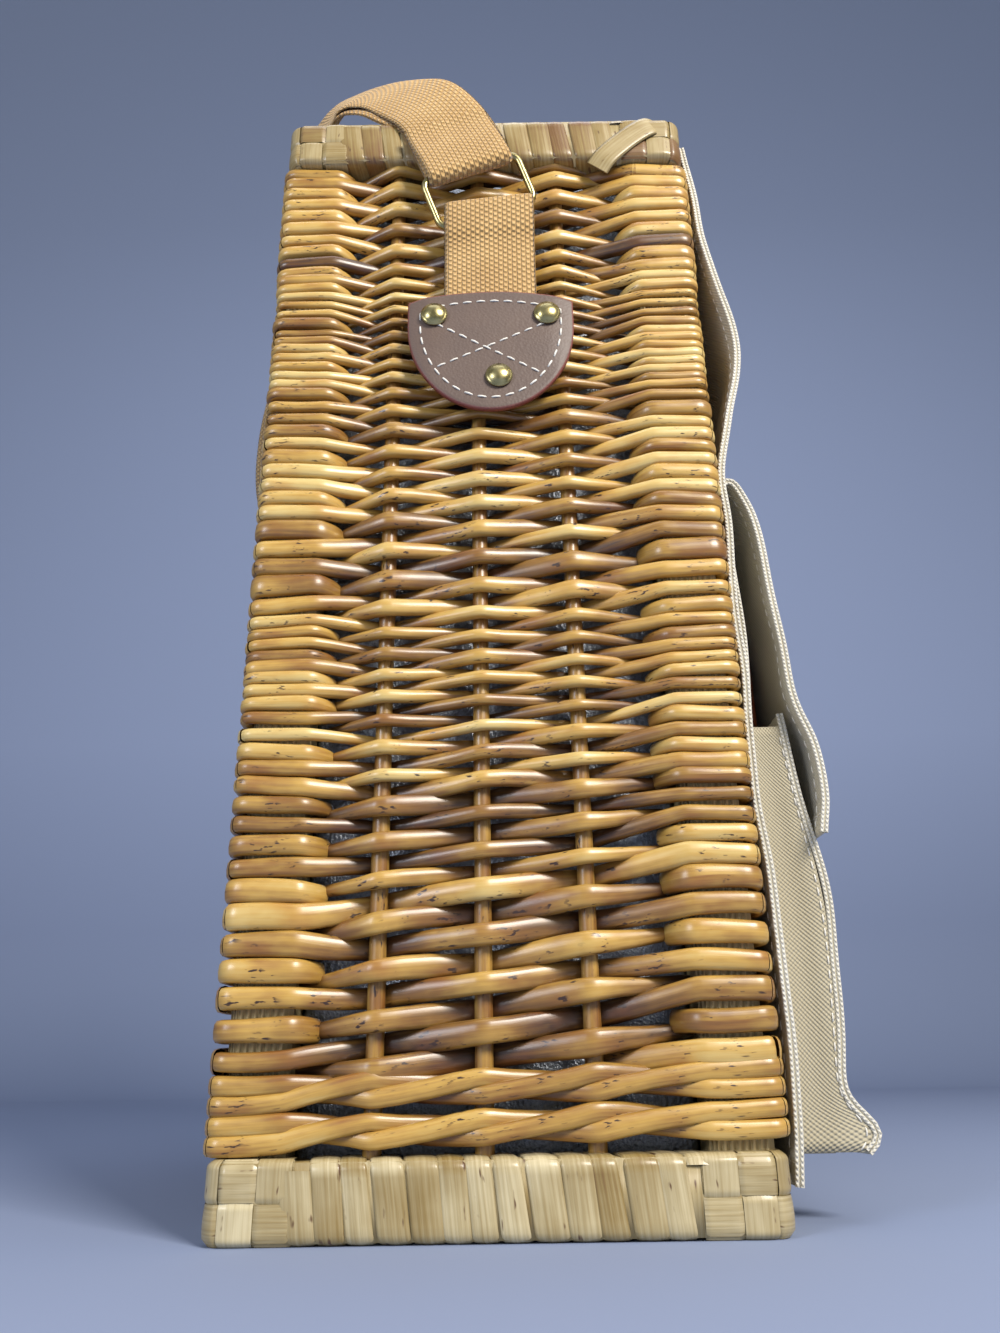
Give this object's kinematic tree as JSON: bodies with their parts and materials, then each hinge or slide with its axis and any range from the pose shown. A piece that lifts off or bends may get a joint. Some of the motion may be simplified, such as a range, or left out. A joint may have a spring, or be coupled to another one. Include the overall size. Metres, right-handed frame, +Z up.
{
  "type": "picnic basket",
  "caption": "Tall woven willow picnic and wine basket with a foil liner, a hinged padded lid, a canvas front with a flapped pocket and a carrying strap on riveted leather patches.",
  "frame": {"origin": "middle of the underside, on the middle base runner, level with the floor", "axes": "+Z up, -Y to the canvas front with its pocket, +X across that front, so the pictured narrow side faces -X"},
  "size_m": [0.3148, 0.2441, 0.4788],
  "materials": {
    "willow": "glossy varnish",
    "skein": "satin",
    "post_wood": "matt",
    "foil": "crinkled silver",
    "canvas": "plain weave",
    "webbing": "ribbed weave",
    "leather": "smooth",
    "fastener": "hook and loop",
    "brass": "polished",
    "dark_wood": "oiled"
  },
  "bodies": {
    "basket": {"corner_post_front_left": "post_wood", "corner_post_front_right": "post_wood", "corner_post_back_left": "post_wood", "corner_post_back_right": "post_wood", "stake_front_left": "willow", "stake_middle_left": "willow", "stake_back_left": "willow", "stake_front_right": "willow", "stake_middle_right": "willow", "stake_back_right": "willow", "bottom_rail_left": "skein", "bottom_rail_right": "skein", "bottom_rail_front": "skein", "bottom_rail_back": "skein", "top_rail_left": "skein", "top_rail_right": "skein", "top_rail_front": "skein", "top_rail_back": "skein", "woven_wall_left": "willow", "woven_wall_right": "willow", "woven_wall_front": "willow", "woven_wall_back": "willow", "base_runner_front": "post_wood", "base_runner_middle": "post_wood", "base_runner_back": "post_wood", "base_panel": "willow", "liner": "foil", "lid_hinge_strip": "webbing", "front_apron": "canvas", "pocket_front": "canvas", "pocket_gusset_left": "canvas", "pocket_gusset_right": "canvas", "pocket_bottom": "canvas", "flap_riser": "canvas", "fastener_strip_pocket": "fastener", "leather_patch_left": "leather", "leather_patch_right": "leather", "backing_plate_left": "leather", "backing_plate_right": "leather", "rivet_back_left": "brass", "rivet_back_right": "brass", "rivet_front_left": "brass", "rivet_front_right": "brass", "rivet_lower_left": "brass", "rivet_lower_right": "brass", "webbing_tab_left": "webbing", "webbing_tab_right": "webbing"},
    "lid": {"lid_panel": "canvas", "lid_lining": "foil", "lid_pull_tab": "webbing"},
    "ring_left": {"ring_left": "brass", "strap_end_left": "webbing"},
    "ring_right": {"ring_right": "brass", "strap_end_right": "webbing"},
    "strap_arms": {"strap_arm_left": "webbing", "strap_arm_right": "webbing"},
    "strap_loop": {"strap_loop": "webbing"},
    "flap": {"pocket_flap": "canvas", "fastener_strip_flap": "fastener"},
    "board": {"cheese_board": "dark_wood"}
  },
  "joints": [
    {"name": "lid_hinge", "type": "hinge", "parent": "basket", "child": "lid", "pos_m": [0, 0.0672, 0.4333], "axis": [-1, 0, 0], "range_deg": [0, 92]},
    {"name": "ring_left_tip", "type": "hinge", "parent": "basket", "child": "ring_left", "pos_m": [-0.1489, -0.0015, 0.3835], "axis": [0, -0.9348, 0.3551], "range_deg": [0, 20]},
    {"name": "ring_right_tip", "type": "hinge", "parent": "basket", "child": "ring_right", "pos_m": [0.1489, -0.0015, 0.3835], "axis": [0, 0.9348, -0.3551], "range_deg": [0, 20]},
    {"name": "strap_swing", "type": "hinge", "parent": "basket", "child": "strap_arms", "pos_m": [0, 0.0134, 0.429], "axis": [1, 0, 0], "range_deg": [0, 60]},
    {"name": "strap_fold", "type": "hinge", "parent": "strap_arms", "child": "strap_loop", "pos_m": [0, 0.089, 0.4598], "axis": [1, 0, 0], "range_deg": [0, 120]},
    {"name": "flap_fold", "type": "hinge", "parent": "basket", "child": "flap", "pos_m": [0, -0.093, 0.2633], "axis": [-1, 0, 0], "range_deg": [0, 100]},
    {"name": "board_slide", "type": "slide", "parent": "basket", "child": "board", "axis": [0, 0, 1], "range_m": [0, 0.013]}
  ]
}
